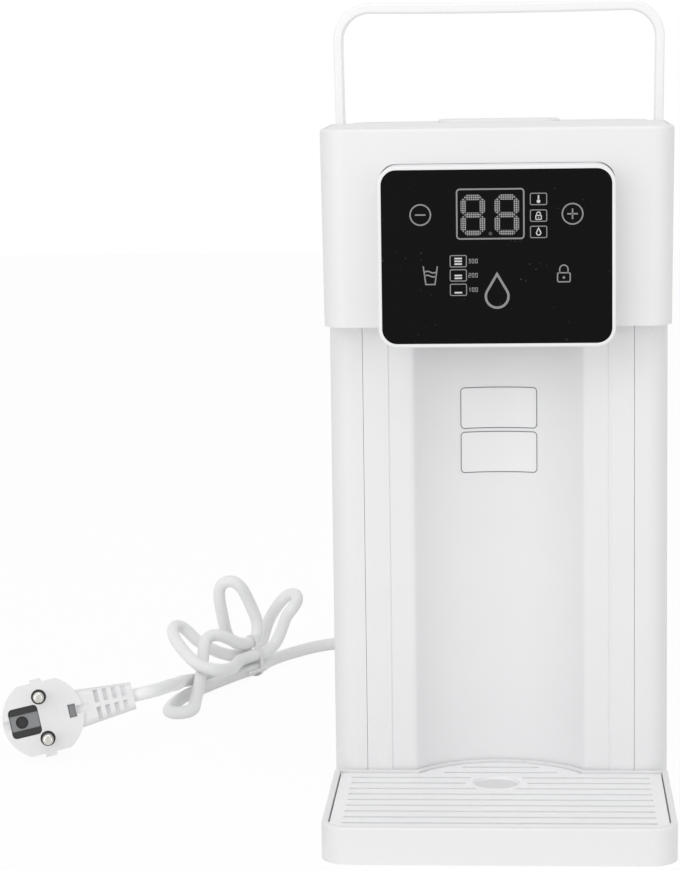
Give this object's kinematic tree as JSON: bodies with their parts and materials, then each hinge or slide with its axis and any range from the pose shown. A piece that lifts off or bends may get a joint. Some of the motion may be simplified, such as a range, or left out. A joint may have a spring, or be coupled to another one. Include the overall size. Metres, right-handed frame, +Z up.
{
  "type": "hot water dispenser",
  "caption": "Counter-top hot water dispenser with a concave cup bay, touch panel head, slotted drip tray, lift-off tank with bail handle, and a tied mains cord with plug.",
  "frame": {"origin": "on the table under the middle of the machine's footprint, cord left out", "axes": "+X to the machine's right as its front is faced, +Y to its back, +Z up"},
  "size_m": [0.2995, 0.4042, 0.335],
  "materials": {
    "white_plastic": "satin white moulded plastic",
    "handle_plastic": "satin light moulded plastic",
    "tank_plastic": "milky translucent moulded plastic",
    "black_glass": "polished black touch panel",
    "dark_plastic": "dark moulded plastic",
    "grey_plastic": "light grey moulded plastic",
    "circuit_board": "green solder mask",
    "silicone": "translucent soft silicone",
    "rubber_foot": "matt rubber",
    "screw_steel": "zinc-plated steel",
    "heater_steel": "drawn stainless steel",
    "contact_metal": "stamped spring steel",
    "pin_metal": "nickel-plated brass",
    "cord_sheath": "smooth white cord sheath",
    "tie_wire": "white twist tie"
  },
  "bodies": {
    "housing": {"base_plate": "white_plastic", "rubber_feet": "rubber_foot", "base_screws": "screw_steel", "right_side_shell": "white_plastic", "left_side_shell": "white_plastic", "front_panel": "white_plastic", "rear_panel": "white_plastic", "tank_base": "white_plastic", "tank_dock": "grey_plastic", "dock_seal": "silicone", "head_shell": "white_plastic", "head_cover": "white_plastic", "panel_housing": "white_plastic", "control_glass": "black_glass", "control_board": "circuit_board", "digit_display": "dark_plastic", "indicator_lamps": "dark_plastic", "touch_springs": "contact_metal", "board_screws": "screw_steel", "spout_nozzle": "silicone", "heater_tube": "heater_steel", "heater_lower_cap": "dark_plastic", "heater_upper_cap": "dark_plastic", "temperature_sensor": "contact_metal", "heater_clamps": "heater_steel", "thermal_cutouts": "dark_plastic", "pump_mount": "rubber_foot", "pump_body": "dark_plastic", "pump_motor": "heater_steel", "inlet_tube": "silicone", "pump_tube": "silicone", "outlet_tube": "silicone", "power_board": "circuit_board", "board_relay": "dark_plastic", "board_transformer": "dark_plastic", "board_capacitor": "dark_plastic", "terminal_block": "grey_plastic", "mains_lead": "cord_sheath", "cord_gland": "white_plastic", "power_cord": "cord_sheath", "cord_hank": "cord_sheath", "cord_tie": "tie_wire", "plug_lead": "cord_sheath", "plug_body": "white_plastic", "plug_insert": "dark_plastic", "plug_pins": "pin_metal", "plug_contacts": "contact_metal"},
    "tank": {"tank_body": "tank_plastic", "handle_pins": "white_plastic", "valve_housing": "grey_plastic", "tank_filter": "grey_plastic"},
    "lid": {"tank_lid": "white_plastic", "lid_seal": "silicone"},
    "handle": {"tank_handle": "handle_plastic"},
    "plunger": {"valve_plunger": "grey_plastic", "valve_seal": "silicone", "valve_spring": "contact_metal"},
    "tray": {"drip_tray": "white_plastic"},
    "grille": {"drip_grille": "white_plastic"},
    "rotor": {"pump_rotor": "dark_plastic"}
  },
  "joints": [
    {"name": "tank_lift", "type": "slide", "parent": "housing", "child": "tank", "axis": [0, 0, 1], "range_m": [0, 0.25]},
    {"name": "lid_lift", "type": "slide", "parent": "tank", "child": "lid", "axis": [0, 0, 1], "range_m": [0, 0.03]},
    {"name": "handle_swing", "type": "hinge", "parent": "tank", "child": "handle", "pos_m": [0, 0.0717, 0.2738], "axis": [-1, 0, 0], "range_deg": [0, 90]},
    {"name": "valve_slide", "type": "slide", "parent": "tank", "child": "plunger", "axis": [0, 0, 1], "range_m": [-0.003, 0], "deforming": ["valve_spring"]},
    {"name": "tray_slide", "type": "slide", "parent": "housing", "child": "tray", "axis": [0, -1, 0], "range_m": [0, 0.09]},
    {"name": "grille_lift", "type": "slide", "parent": "tray", "child": "grille", "axis": [0, 0, 1], "range_m": [0, 0.025]},
    {"name": "pump_spin", "type": "hinge", "parent": "housing", "child": "rotor", "pos_m": [0.046, -0.002, 0.018], "axis": [0, 0, 1], "continuous": true}
  ],
  "couplings": [
    {"joint": "valve_slide", "follows": "tank_lift", "ratio": -0.012}
  ]
}
